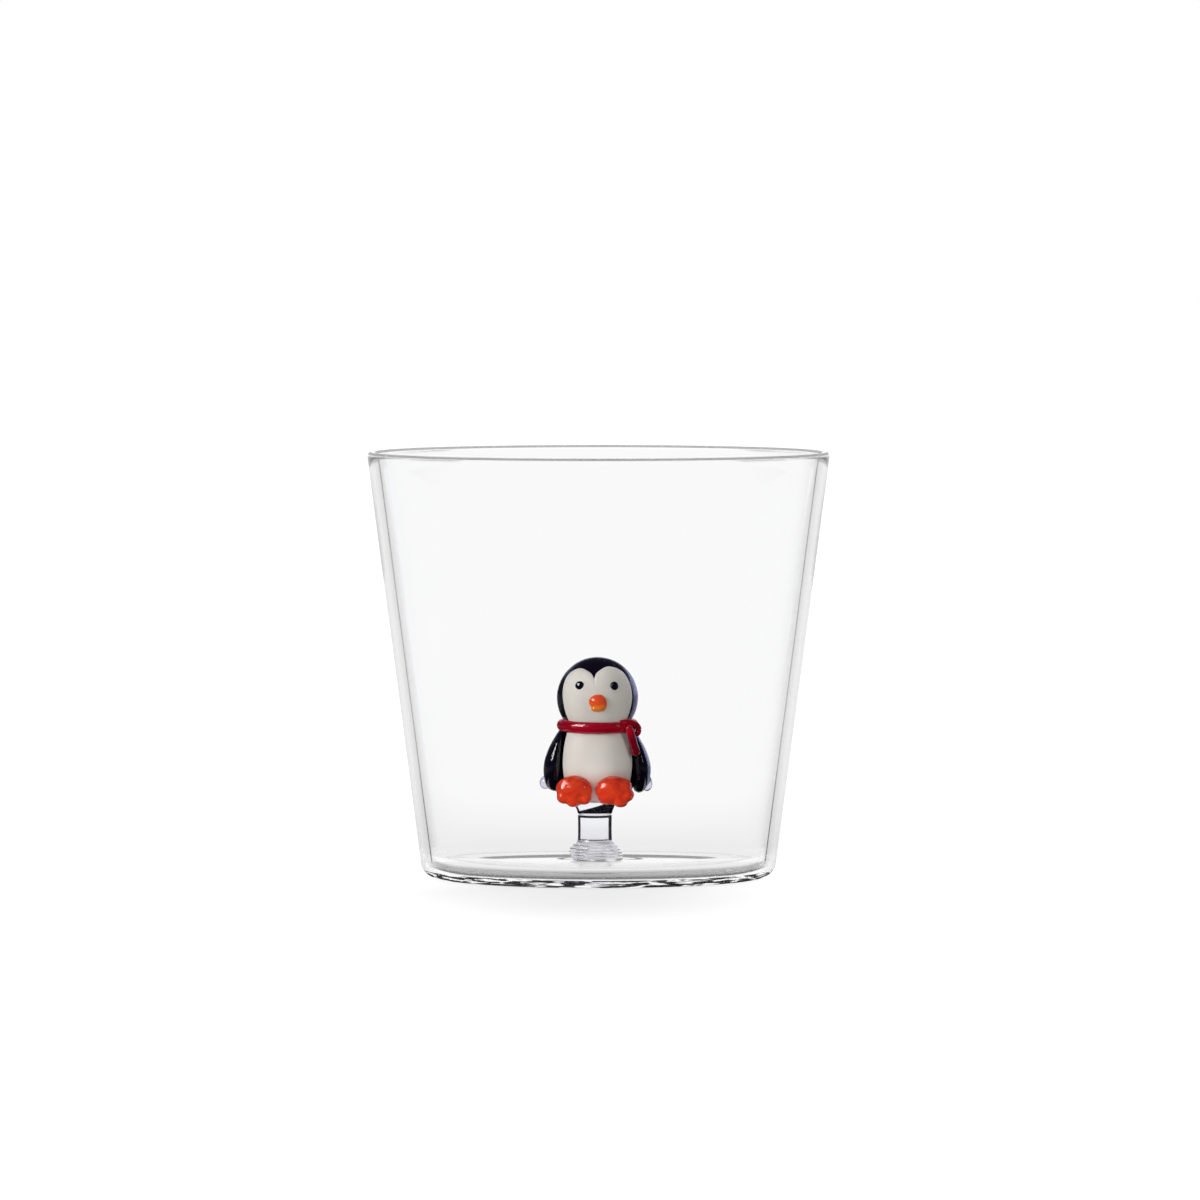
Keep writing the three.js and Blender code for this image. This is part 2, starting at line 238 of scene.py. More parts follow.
def smooth_through(points, steps=14):
    """A smooth line of many points through a few."""
    points = np.asarray(points, float)
    ends = np.vstack([2 * points[0] - points[1], points, 2 * points[-1] - points[-2]])
    line = []
    for k in range(len(points) - 1):
        a, b, c, d = ends[k : k + 4]
        bend, swing = 2 * a - 5 * b + 4 * c - d, 3 * b - a - 3 * c + d
        for t in np.linspace(0, 1, steps, endpoint=False):
            line.append(0.5 * (2 * b + (c - a) * t + bend * t * t + swing * t**3))
    line.append(points[-1])
    return np.array(line)


def step(value, low, high):
    t = np.clip((value - low) / (high - low), 0, 1)
    return t * t * (3 - 2 * t)


def ball_grid(cells):
    """Unit directions and faces of a ball made of six grids, so it has no poles."""
    line = np.tan(np.linspace(-math.pi / 4, math.pi / 4, cells + 1))
    u, v = np.meshgrid(line, line, indexing="ij")
    one = np.ones_like(u)
    sides = [(one, u, v), (-one, v, u), (v, one, u), (u, -one, v), (u, v, one), (v, u, -one)]
    points, faces = [], []
    for side in sides:
        base = len(points) * (cells + 1) ** 2
        block = np.stack([s.ravel() for s in side], 1)
        points.append(block / np.linalg.norm(block, axis=1)[:, None])
        for i in range(cells):
            for j in range(cells):
                a = base + i * (cells + 1) + j
                faces.append((a, a + cells + 1, a + cells + 2, a + 1))
    return np.vstack(points), faces


def turn(points, spin=0.0, nod=0.0, roll=0.0):
    """Turns points about Z, then X, then Y, in degrees."""
    a, b, c = np.radians([spin, nod, roll])
    about_z = np.array([[np.cos(a), -np.sin(a), 0], [np.sin(a), np.cos(a), 0], [0, 0, 1]])
    about_x = np.array([[1, 0, 0], [0, np.cos(b), -np.sin(b)], [0, np.sin(b), np.cos(b)]])
    about_y = np.array([[np.cos(c), 0, np.sin(c)], [0, 1, 0], [-np.sin(c), 0, np.cos(c)]])
    return points @ about_z.T @ about_x.T @ about_y.T


def ripple(points, pitch, seed):
    """A gentle, repeatable unevenness between -1 and 1, as hot glass has."""
    rng = np.random.default_rng(seed)
    total = np.zeros(len(points))
    for _ in range(6):
        way = rng.normal(size=3)
        way /= np.linalg.norm(way)
        total += np.sin(points @ way * FULL_TURN / pitch * rng.uniform(0.7, 1.4) + rng.uniform(0, 6))
    return total / 4


def run_together(name, middle, lumps, soft, cells=36, unevenness=0.03, seed=1):
    """Skin of several lumps of hot glass run into one, found by walking out from the middle.
    A lump is its centre, its three half sizes and, if it has one, its turn about Z, X and Y."""
    ways, faces = ball_grid(cells)
    middle = np.array(middle, float)

    def depth(points):
        field = None
        for centre, half, *turns in lumps:
            spin, nod, roll = turns or (0, 0, 0)
            local = turn(points - np.array(centre), 0, 0, -roll)
            local = turn(local, 0, -nod, 0)
            local = turn(local, -spin, 0, 0)
            near = np.linalg.norm(local / half, axis=1)
            slope = np.linalg.norm(local / np.square(half), axis=1) + 1e-9
            d = near * (near - 1) / slope
            if field is None:
                field = d
            else:
                h = np.clip(0.5 + 0.5 * (field - d) / soft, 0, 1)
                field = field * (1 - h) + d * h - soft * h * (1 - h)
        return field

    low = np.zeros(len(ways))
    high = np.full(len(ways), 9.0)
    for _ in range(36):
        mid = (low + high) / 2
        outside = depth(middle + ways * mid[:, None]) > 0
        high = np.where(outside, mid, high)
        low = np.where(outside, low, mid)
    reach = (low + high) / 2
    points = middle + ways * reach[:, None]
    points = points + ways * (unevenness * ripple(points, 2.2, seed))[:, None]
    return tidy_mesh(name, points, faces)


# finishes


def new_finish(name):
    finish = bpy.data.materials.new(name)
    finish.use_nodes = True
    tree = finish.node_tree
    tree.nodes.clear()
    return finish, place(tree, "ShaderNodeTexCoord")["Object"]


def mottle(coords, scale, detail=2.0, stretch=(1, 1, 1), distortion=0.0):
    """Soft cloudy variation, drawn out along an axis where stretch is small."""
    laid = place(coords.tree, "ShaderNodeMapping", {"Vector": coords, "Scale": stretch})
    sockets = {"Vector": laid, "Scale": scale, "Detail": detail, "Distortion": distortion}
    return place(coords.tree, "ShaderNodeTexNoise", sockets)


def two_tone(factor, *stops):
    ramp = place(factor.tree, "ShaderNodeValToRGB", {"Fac": factor})
    bands = ramp.node.color_ramp.elements
    while len(bands) < len(stops):
        bands.new(0.5)
    for band, (position, colour) in zip(bands, stops):
        band.position = position
        band.color = (*colour, 1)
    return ramp


def level_ramp(value, *stops):
    return two_tone(value, *[(position, (level, level, level)) for position, level in stops])


def blend_colour(factor, below, above):
    sockets = {0: factor, 6: below, 7: above}
    return place(factor.tree, "ShaderNodeMix", sockets, data_type="RGBA")[2]


def faint_bump(height, strength, distance):
    sockets = {"Height": height, "Strength": strength, "Distance": distance}
    return place(height.tree, "ShaderNodeBump", sockets)


def blend_shaders(share, first, second):
    return place(share.tree, "ShaderNodeMixShader", {0: share, 1: first, 2: second})


def lay_coloured_glass(tone, gloss, waves, glow=None, specular=0.5):
    """Opaque glass with its tone, gloss and faint waves. Its glow from within is how much of it
    there is, how far each colour carries, and over what length in metres."""
    sockets = {"Base Color": tone, "Roughness": gloss, "Normal": waves}
    sockets.update({"IOR": GLASS_IOR, "Specular IOR Level": specular})
    if glow:
        sockets.update(zip(("Subsurface Weight", "Subsurface Radius", "Subsurface Scale"), glow))
    surface = place(tone.tree, "ShaderNodeBsdfPrincipled", sockets)
    place(tone.tree, "ShaderNodeOutputMaterial", {0: surface})


def clear_blown_glass():
    """Water-clear glass with a faint lavender cast in the worked post. Painted shade, a near-black
    diffuse mixed in, darkens its edges where the eye meets them at a slant: a thin line down the
    inside of the wall, the sides of the post, the lip and the corner of the floor. Painted dark bands,
    flecks and lines lie on the heel, the gather and the cap. Lamps shine through it."""
    finish, coords = new_finish("clear_blown_glass")
    tree = coords.tree
    facing = place(tree, "ShaderNodeLayerWeight", {"Blend": 0.5})["Facing"]
    surface = place(tree, "ShaderNodeNewGeometry")
    outside = 1 - surface["Backfacing"]
    upward = parts(surface["Normal"])[2]
    x, y, z = parts(coords)
    reach = length_of(x, y)
    across = x - POST_X * MM
    from_post = length_of(across, y)

    # wall: painted shade, as a soft band and a thin dark line, found from how far to the side a sight
    # line passes, as a share of the inner radius
    lean = math.tan(WALL_LEAN)
    half = HALF_WALL / math.cos(WALL_LEAN)
    inner = z * lean + (WALL_MIDDLE_AT_FOOT - half) * MM
    outer = z * lean + (WALL_MIDDLE_AT_FOOT + half) * MM
    middle = z * lean + WALL_MIDDLE_AT_FOOT * MM
    on_wall = (reach > middle) * outside
    slant = reckon("DIVIDE", 1.0068 - facing, 0.9888, clamp=True)
    aside = reckon("SQRT", 1 - slant * slant)
    passing = aside * reach / inner
    within = level_ramp(
        (passing - 0.85) / 0.15, (0, 0), (0.4, 0.008), (0.7, 0.025), (0.86, 0.07), (0.95, 0.15),
        (1, 0.22),
    )
    edge = (passing - 1.0) / (outer / inner - 1.0)
    beyond = level_ramp(edge, (0, 0.26), (0.3, 0.17), (0.6, 0.1), (0.85, 0.05), (1, 0.02))
    in_cavity = passing < 1.0
    body = within * in_cavity + beyond * (1 - in_cavity)
    off_line = reckon("ABSOLUTE", passing - 0.999)
    line = ease(off_line, 0.0008, 0.005, 1, 0) * ease(z, 0.006, 0.03, 0.88, 0.62)
    wall_shade = strongest(body, line) * on_wall * between(z, 0.004, 0.0815, 0.001)

    # painted shade on the lip, the corner of the floor and the heel: dark lines, a grey band and dark
    # flecks along the heel's foot
    lip = between(upward, 0.5, 0.88, 0.08) * ease(z, 0.0815, 0.082)
    lip_shade = lip * outside * 0.55
    corner = between(z, 0.00286, 0.00296, 0.00004) * ease(reach, 0.028, 0.03) * outside
    corner_shade = corner * (reach < middle) * 0.12
    on_heel = (reach > 0.029) * (upward < 0.05) * outside
    head_on = ease(facing, 0.5, 0.78, 1, 0)
    risen = z - ease(facing, 0.4, 0.72, 0, 0.0008)
    band = level_ramp(
        risen / 0.004, (0.43, 0), (0.49, 0.8), (0.55, 0.78), (0.6, 0.6), (0.8, 0.48), (0.88, 0.2),
        (0.96, 0),
    )
    band_shade = band * head_on * on_heel
    turning = reckon("ARCTAN2", y, x)
    drawn = place(tree, "ShaderNodeCombineXYZ", {0: turning * 6.5 - 1.2, 1: z * 2100.0})
    painted_fleck_noise = place(
        tree, "ShaderNodeTexNoise", {"Vector": drawn, "Scale": 1.0, "Detail": 2.0, "Distortion": 0.6}
    )
    heel_edge_shade = on_heel * ease(facing, 0.6, 0.9, 0, 0.14)
    fleck_shade = ease(painted_fleck_noise, 0.43, 0.49, 0, 0.96) * between(z, 0.0001, 0.0015, 0.0002) * on_heel

    # post: painted shade on the sides of the stem, a painted dark line under its collar and a painted
    # dark wedge in the cap
    near_post = ease(from_post, 0.0046, 0.005, 1, 0) * outside
    slanted = across * 12.0 + facing
    sides = ease(slanted, 0.4, 0.5, 0, 0.97) * between(z, 0.0074, 0.0121, 0.0002)
    collar_shade_line = between(z, 0.0118, 0.01215, 0.0001) * 0.97
    wedge_top = x * 0.3 + 0.01418
    cap_wedge_shade = ease(z, 0.01256, 0.01268) * ease(z - wedge_top, -0.0001, 0.0001, 0.99, 0)
    cap_side_shade = ease(facing, 0.5, 0.62, 0, 0.98) * between(z, 0.0126, 0.0143, 0.0002)
    post_shade = strongest(sides, collar_shade_line, cap_wedge_shade, cap_side_shade) * near_post

    # the wound gather: painted shade in the grooves between its rings and a broken painted dark line
    # round its foot
    wound = z / (RING_PITCH * MM) + turning / FULL_TURN
    groove = ease(reckon("SINE", wound * FULL_TURN), 0.55, 0.95)
    patchy = ease(mottle(coords, 420.0, 2.0), 0.38, 0.6, 0, 0.75)
    ring_shade = (
        groove * patchy * between(z, 0.0033, 0.007, 0.0003) * outside
        * ease(from_post, 0.0058, 0.0064, 1, 0)
    )
    foot_shade_line = (
        between(z, 0.0031, 0.00335, 0.0001) * patchy * outside * ease(upward, 0.6, 0.85, 1, 0)
        * ease(from_post, 0.0078, 0.0084, 1, 0)
    )

    # the glass itself: head on it only bends light, at a slant it mirrors too
    on_post = ease(from_post, 0.006, 0.011, 1, 0) * ease(z, 0.0032, 0.0038)
    cloud = mottle(coords, 55.0)
    bare = two_tone(cloud, (0.3, (0.985, 0.99, 0.99)), (0.7, (1, 1, 1)))
    gather = two_tone(cloud, (0.3, (0.58, 0.57, 0.61)), (0.7, (0.68, 0.67, 0.72)))
    worked = blend_colour(ease(z, 0.007, 0.0078), gather, (0.955, 0.955, 1, 1))
    glass = place(
        tree,
        "ShaderNodeBsdfPrincipled",
        {
            "Base Color": blend_colour(on_post, bare, worked),
            "Roughness": 0.0,
            "IOR": GLASS_IOR,
            "Transmission Weight": 1.0,
            "Normal": faint_bump(mottle(coords, 38.0, 1.0), 0.02, 0.0002),
        },
    )
    # painted shade: the masks above mix this near-black diffuse over the glass
    deep = place(tree, "ShaderNodeBsdfDiffuse", {"Color": (0.004, 0.003, 0.006, 1)})
    shade = strongest(
        wall_shade, lip_shade, corner_shade, band_shade, heel_edge_shade, fleck_shade, post_shade, ring_shade,
        foot_shade_line,
    )
    bending = place(
        tree,
        "ShaderNodeBsdfRefraction",
        {"Color": (0.9975, 0.998, 0.998, 1), "Roughness": 0.0, "IOR": GLASS_IOR},
    )
    hollow = between(z, 0.00288, 0.0055, 0.00002) * (reach > 0.029) * (reach < middle)
    from_outside = ease(facing, 0.6, 0.9) * (1 - hollow) * outside
    from_inside = ease(facing, 0.08, 0.2) * surface["Backfacing"]
    mirroring = strongest(from_outside, from_inside, ease(from_post, 0.008, 0.009, 1, 0))
    clear = blend_shaders(mirroring, bending, glass)
    breaks = ease(painted_fleck_noise, 0.36, 0.42, 0.88, 0) * between(z, -0.001, 0.0013, 0.0002) * on_heel
    thin = place(tree, "ShaderNodeBsdfTransparent", {"Color": (1, 1, 1, 1)})
    lipped = blend_shaders(strongest(ease(z, 0.0819, 0.0825, 0, 0.8), breaks), clear, thin)
    painted_shade_mix = blend_shaders(shade, lipped, deep)
    lit = place(tree, "ShaderNodeBsdfTransparent", {"Color": (0.93, 0.93, 0.94, 1)})
    ray = place(tree, "ShaderNodeLightPath")
    both = blend_shaders(ray["Is Shadow Ray"], painted_shade_mix, lit)
    place(tree, "ShaderNodeOutputMaterial", {0: both})
    return finish


def violet_black_glass():
    """Dense violet glass that reads black, with tiny seed bubbles on the head's left and crown."""
    finish, coords = new_finish("violet_black_glass")
    tree = coords.tree
    cloud = mottle(coords, 160.0, 3.0, (1, 1, 0.5))
    dark = two_tone(cloud, (0.3, (0.002, 0.0014, 0.005)), (0.75, (0.005, 0.0032, 0.011)))
    seeds = place(tree, "ShaderNodeTexVoronoi", {"Vector": coords, "Scale": 1350.0})
    near = ease(seeds["Distance"], 0.07, 0.15, 1, 0)
    pick = place(tree, "ShaderNodeSeparateColor", {0: seeds["Color"]})
    x, _, z = parts(coords)
    left_side = ease(x, -0.0078, -0.0066, 1, 0)
    crown = ease(reckon("ABSOLUTE", x + 0.0008), 0.0003, 0.0006, 1, 0) * ease(z, 0.0395, 0.0402)
    high = ease(z, 0.0305, 0.0325)
    wanted = strongest(left_side * high, crown)
    chosen = ease(pick + wanted * 0.34, 0.97, 0.99)
    speck = near * chosen
    lay_coloured_glass(
        blend_colour(speck, dark, (0.42, 0.41, 0.5, 1)),
        ease(cloud, 0.3, 0.7, 0.06, 0.09),
        faint_bump(mottle(coords, 300.0, 1.0), 0.02, 0.0001),
    )
    return finish


def milk_white_glass():
    """Warm white opal glass with faint brushed streaks and a soft inner glow, painted pink towards the
    feet as a painted warm bounce of light from them.
    """
    finish, coords = new_finish("milk_white_glass")
    streak = mottle(coords, 260.0, 3.0, (1, 1, 0.3), 0.4)
    tone = two_tone(streak, (0.3, (0.765, 0.73, 0.675)), (0.72, (0.81, 0.78, 0.72)))
    z = parts(coords)[2]
    # painted bounce light: the belly runs pink towards the orange feet, and a paler pink just by them
    # lifts the shade there
    painted_bounce_tone = blend_colour(ease(z, 0.0181, 0.0218, 1, 0), tone, (0.6, 0.36, 0.325, 1))
    feet_bounce_share = ease(z, 0.0155, 0.0178, 1, 0)
    lay_coloured_glass(
        blend_colour(feet_bounce_share, painted_bounce_tone, (1.0, 0.68, 0.64, 1)),
        ease(streak, 0.3, 0.7, 0.36, 0.44),
        faint_bump(mottle(coords, 300.0, 2.0), 0.06, 0.0001),
        (0.35, (1.0, 0.8, 0.65), 0.0007),
        specular=0.3,
    )
    return finish


def ruby_rod_glass():
    """Deep red rod, darker where the streaks in the drawn glass run, with painted shadow on the hanging
    tail.
    """
    finish, coords = new_finish("ruby_rod_glass")
    streak = mottle(coords, 300.0, 3.0, (0.35, 0.35, 1.6), 0.5)
    tone = two_tone(
        streak, (0.25, (0.24, 0.001, 0.010)), (0.55, (0.40, 0.002, 0.016)), (0.8, (0.50, 0.004, 0.023))
    )
    x, _, z = parts(coords)
    # painted shadow: the hanging tail is darkened
    hanging = ease(x, 0.0045, 0.0055) * ease(z, 0.0265, 0.029, 1, 0)
    tone = blend_colour(hanging * 0.8, tone, (0.12, 0.001, 0.007, 1))
    lay_coloured_glass(
        tone,
        ease(streak, 0.3, 0.7, 0.1, 0.14),
        faint_bump(mottle(coords, 340.0, 2.0), 0.1, 0.0001),
        (0.3, (1.0, 0.1, 0.12), 0.0007),
    )
    return finish


def orange_foot_glass():
    """Orange-red glass, its tone wandering between deep red and paler orange in soft swirls."""
    finish, coords = new_finish("orange_foot_glass")
    swirl = mottle(coords, 380.0, 3.0, (1, 1, 1), 0.8)
    tone = two_tone(
        swirl, (0.25, (0.56, 0.026, 0.012)), (0.5, (0.68, 0.045, 0.015)), (0.8, (0.80, 0.085, 0.022))
    )
    lay_coloured_glass(
        tone,
        ease(swirl, 0.3, 0.7, 0.06, 0.1),
        faint_bump(mottle(coords, 430.0, 1.0), 0.42, 0.0004),
        (0.4, (1.0, 0.25, 0.1), 0.0008),
    )
    return finish


def orange_beak_glass():
    """Red-orange above, running to yellow-orange in the drooping lower lobe."""
    finish, coords = new_finish("orange_beak_glass")
    z = parts(coords)[2]
    swirl = mottle(coords, 420.0, 2.0, (1, 1, 1), 0.6)
    mixed = ease(z, 0.0330, 0.0356) + (swirl - 0.5) * 0.7
    tone = two_tone(
        mixed, (0.1, (0.92, 0.25, 0.034)), (0.5, (0.94, 0.135, 0.024)), (0.95, (0.86, 0.09, 0.024))
    )
    lay_coloured_glass(
        tone,
        ease(swirl, 0.3, 0.7, 0.06, 0.1),
        faint_bump(mottle(coords, 500.0, 2.0), 0.1, 0.0001),
        (0.35, (1.0, 0.3, 0.1), 0.0006),
    )
    return finish


def clear_drop_glass():
    """A small solid bead of clear glass, with a painted grey shade at its edge where it is seen at a
    slant.
    """
    finish, coords = new_finish("clear_drop_glass")
    tree = coords.tree
    facing = place(tree, "ShaderNodeLayerWeight", {"Blend": 0.5})["Facing"]
    cloud = mottle(coords, 600.0)
    glass = place(
        tree,
        "ShaderNodeBsdfPrincipled",
        {
            "Base Color": two_tone(cloud, (0.3, (0.66, 0.66, 0.76)), (0.7, (0.78, 0.78, 0.88))),
            "Roughness": 0.02,
            "IOR": GLASS_IOR,
            "Transmission Weight": 1.0,
        },
    )
    # painted shade: a dark grey diffuse mixed in at the bead's slanting edge
    deep = place(tree, "ShaderNodeBsdfDiffuse", {"Color": (0.09, 0.09, 0.13, 1)})
    painted_shade_mix = blend_shaders(ease(facing, 0.35, 0.85, 0, 0.55), glass, deep)
    place(tree, "ShaderNodeOutputMaterial", {0: painted_shade_mix})
    return finish


CLEAR = clear_blown_glass()
DROP = clear_drop_glass()
BLACK = violet_black_glass()
WHITE = milk_white_glass()
RED = ruby_rod_glass()
ORANGE = orange_foot_glass()
BEAK = orange_beak_glass()


# the tumbler and the post, one run of clear glass


def bow(middle_r, middle_z, radius, start, end, steps):
    angles = np.radians(np.linspace(start, end, steps))
    return [(middle_r + radius * math.cos(a), middle_z + radius * math.sin(a)) for a in angles]


def wall_radius(z, side):
    """Outside (side 1) or inside (side -1) of the flared wall, which thins towards the lip."""
    thin = LIP_THINNING * float(step(z, 50, 81)) if side < 0 else 0.0
    return WALL_MIDDLE_AT_FOOT + math.tan(WALL_LEAN) * z + side * HALF_WALL / math.cos(WALL_LEAN) + thin


# half widths of the gather at the post's foot, to its left and right, at each height
POST_HEIGHTS = [3.05, 3.12, 3.3, 3.6, 4.0, 4.5, 5.0, 5.5, 6.0, 6.4, 6.8, 7.1, 7.4]
POST_LEFT = [4.7, 4.35, 4.3, 4.5, 4.75, 4.95, 5.0, 4.88, 4.55, 4.15, 3.7, 3.42, 3.3]
POST_RIGHT = [5.8, 5.5, 5.42, 5.45, 5.45, 5.35, 5.1, 4.75, 4.3, 3.92, 3.6, 3.4, 3.3]


def clear_profile():
    """Half outline of the clear glass, from under the floor, over the lip and up the post."""
    lean = math.degrees(WALL_LEAN)
    heel = wall_radius(HEEL_RADIUS, 1) - HEEL_RADIUS / math.cos(WALL_LEAN)
    corner_z = FLOOR_TOP + CORNER_RADIUS
    corner = wall_radius(corner_z, -1) - CORNER_RADIUS / math.cos(WALL_LEAN)
    lip = HALF_WALL - LIP_THINNING / 2
    lip_z = HEIGHT - lip
    lip_middle = wall_radius(lip_z, 1) - lip / math.cos(WALL_LEAN)
    line = [
        (r, PUNT_DEPTH * math.cos(r / PUNT_RADIUS * math.pi / 2) ** 1.3)
        for r in np.linspace(0, PUNT_RADIUS, 16)[:-1]
    ]
    line += [(r, 0.0) for r in np.linspace(PUNT_RADIUS, heel, 5)[:-1]]
    line += bow(heel, HEEL_RADIUS, HEEL_RADIUS, -90, -lean, 18)
    start = line[-1][1]
    line += [
        (wall_radius(z, 1), z)
        for z in np.linspace(start, lip_z - lip * math.sin(WALL_LEAN), 36)[1:-1]
    ]
    line += bow(lip_middle, lip_z, lip, -lean, 180 - lean, 18)
    start = line[-1][1]
    line += [
        (wall_radius(z, -1), z)
        for z in np.linspace(start, corner_z - CORNER_RADIUS * math.sin(WALL_LEAN), 36)[1:-1]
    ]
    line += bow(corner, corner_z, CORNER_RADIUS, -lean, -90, 18)
    for r in np.concatenate([np.linspace(corner - 0.6, 22.5, 18), np.linspace(21, 9.6, 9)]):
        swell = float(step(-r, -FLOOR_RING_RADIUS - 1.2, -FLOOR_RING_RADIUS + 1.2))
        line.append((r, FLOOR_TOP + FLOOR_SWELL * swell))
    for z in np.concatenate([np.linspace(3.05, 3.3, 7), np.linspace(3.36, STEM_FOOT, 54)]):
        left, right = np.interp(z, POST_HEIGHTS, POST_LEFT), np.interp(z, POST_HEIGHTS, POST_RIGHT)
        line.append(((left + right) / 2, z))
    line += [
        (STEM_RADIUS - 0.04 * math.sin((z - STEM_FOOT) / (COLLAR_Z - STEM_FOOT) * math.pi), z)
        for z in np.linspace(7.6, 11.95, 10)
    ]
    collar = smooth_through(
        [
            (STEM_RADIUS, COLLAR_Z), (3.24, 12.16), (3.12, 12.3), (3.2, 12.46), (3.36, 12.6),
            (3.42, 12.85), (3.55, 13.25), (3.76, 13.75), (3.86, 14.25), (3.8, 14.75), (3.5, 15.05),
            (2.8, 15.18), (1.4, CAP_TOP),
        ],
        4,
    )
    line += [tuple(p) for p in collar]
    line.append((0.0, CAP_TOP))
    return line


def open_shape_tree(name, source, sizes):
    """A new node tree that takes a source shape and named sizes, and its inputs."""
    tree = bpy.data.node_groups.new(name, "GeometryNodeTree")
    tree.interface.new_socket(source, in_out="INPUT", socket_type="NodeSocketGeometry")
    for size, kind in sizes.items():
        tree.interface.new_socket(size, in_out="INPUT", socket_type="NodeSocket" + kind)
    tree.interface.new_socket("Shape", in_out="OUTPUT", socket_type="NodeSocketGeometry")
    return tree, place(tree, "NodeGroupInput")


def close_shape_tree(tree, shape, glass):
    shape = place(tree, "GeometryNodeSetShadeSmooth", {"Geometry": shape})
    shape = place(tree, "GeometryNodeRealizeInstances", {"Geometry": shape})
    shape = place(tree, "GeometryNodeSetMaterial", {"Geometry": shape, "Material": glass})
    place(tree, "NodeGroupOutput", {0: shape})
    return tree


def turned_glass_tree():
    """Turns a half outline about the upright axis and lets the wall run a little uneven."""
    sizes = {
        "Steps Around": "Int", "Unevenness": "Float", "Uneven Pitch": "Float", "Seed": "Int",
        "Glass": "Material",
    }
    tree, given = open_shape_tree("turned_glass", "Half Outline", sizes)
    outline = given["Half Outline"]
    count = place(
        tree, "GeometryNodeAttributeDomainSize", {0: outline}, component="MESH"
    )["Point Count"]
    grid = place(
        tree,
        "GeometryNodeMeshGrid",
        {"Size X": 1.0, "Size Y": 1.0, "Vertices X": count, "Vertices Y": given["Steps Around"] + 1},
    )
    spot = parts(place(tree, "GeometryNodeInputPosition"))
    row = reckon("ROUND", (spot[0] + 0.5) * (count - 1))
    angle = (spot[1] + 0.5) * FULL_TURN
    sockets = {"Geometry": outline, "Value": place(tree, "GeometryNodeInputPosition"), "Index": row}
    kinds = {"data_type": "FLOAT_VECTOR", "domain": "POINT"}
    reach, _, height = parts(place(tree, "GeometryNodeSampleIndex", sockets, **kinds))
    way = place(tree, "ShaderNodeCombineXYZ", {0: reckon("COSINE", angle), 1: reckon("SINE", angle)})
    even = place(tree, "ShaderNodeVectorMath", {0: way, 3: reach}, operation="SCALE")
    even = place(
        tree,
        "ShaderNodeVectorMath",
        {0: even, 1: place(tree, "ShaderNodeCombineXYZ", {2: height})},
        operation="ADD",
    )
    cloud = place(
        tree,
        "ShaderNodeTexNoise",
        {"Vector": even, "W": given["Seed"], "Scale": 1.0 / given["Uneven Pitch"], "Detail": 1.0},
        noise_dimensions="4D",
    )
    amount = (cloud - 0.5) * given["Unevenness"]
    amount = amount * ease(height, 0.008, 0.02)
    push = place(tree, "ShaderNodeVectorMath", {0: way, 3: amount}, operation="SCALE")
    place_at = place(tree, "ShaderNodeVectorMath", {0: even, 1: push}, operation="ADD")
    shape = place(tree, "GeometryNodeSetPosition", {"Geometry": grid, "Position": place_at})
    shape = place(tree, "GeometryNodeMergeByDistance", {"Geometry": shape, "Distance": 2e-7})
    return close_shape_tree(tree, shape, given["Glass"])


def grow(source, tree, values):
    """Runs a node tree on a source object and returns the result as a plain mesh."""
    modifier = source.modifiers.new("grow", "NODES")
    modifier.node_group = tree
    for item in tree.interface.items_tree:
        if item.item_type == "SOCKET" and item.in_out == "INPUT" and item.name in values:
            modifier[item.identifier] = values[item.name]
    graph = bpy.context.evaluated_depsgraph_get()
    mesh = bpy.data.meshes.new_from_object(source.evaluated_get(graph), depsgraph=graph)
    source.modifiers.remove(modifier)
    bpy.data.objects.remove(source)
    return close_up(mesh, 2e-7)


def work_the_post(mesh):
    """The maker's marks on the clear glass: the post stands off centre, its foot gather bulges
    on the left and trails to a skirt on the right, and the wound thread leaves slanting rings."""
    points = np.empty(len(mesh.vertices) * 3, np.float32)
    mesh.vertices.foreach_get("co", points)
    points = points.reshape(-1, 3).astype(float) / MM
    x, y, z = points.T.copy()
    reach = np.hypot(x, y)
    angle = np.arctan2(y, x)
    inside = (z > 2.6) & (reach < 30)
    left = np.interp(z, POST_HEIGHTS, POST_LEFT)
    right = np.interp(z, POST_HEIGHTS, POST_RIGHT)
    lopsided = (left + (right - left) * (0.5 + 0.5 * np.cos(angle))) / ((left + right) / 2)
    hold = np.where(z > 3.06, 1.0, step(-reach, -20, -9.3)) * inside * (z < 7.5)
    scale = 1 + (lopsided - 1) * hold
    rings = RING_RELIEF * np.sin(FULL_TURN * (z - RINGS_FROM) / RING_PITCH + angle)
    rings = rings * step(z, RINGS_FROM, RINGS_FROM + 0.4) * step(-z, -6.6, -6.0) * (reach < 9)
    shift = POST_X * np.where(inside, step(-reach, -29, -9), 0)
    grown = reach * scale + rings
    grown = np.where(reach < 1e-6, 0, grown)
    points[:, 0] = grown * np.cos(angle) + shift
    points[:, 1] = grown * np.sin(angle)
    mesh.vertices.foreach_set("co", (points * MM).astype(np.float32).ravel())
    mesh.update()


def make_tumbler_and_post():
    profile = clear_profile()
    outline = bpy.data.meshes.new("half_outline")
    outline.from_pydata(
        [(r * MM, 0, z * MM) for r, z in profile], [(k, k + 1) for k in range(len(profile) - 1)], []
    )
    source = bpy.data.objects.new("half_outline", outline)
    scene.collection.objects.link(source)
    values = {
        "Steps Around": 256, "Unevenness": 0.00012, "Uneven Pitch": 0.028, "Seed": 5, "Glass": CLEAR
    }
    mesh = grow(source, turned_glass_tree(), values)
    work_the_post(mesh)
    return set_piece(
        "clear_tumbler_and_post", mesh, CLEAR, "clear_glass", "tumbler", "post_base", "post_stem",
        "post_cap",
    )


# black body and head


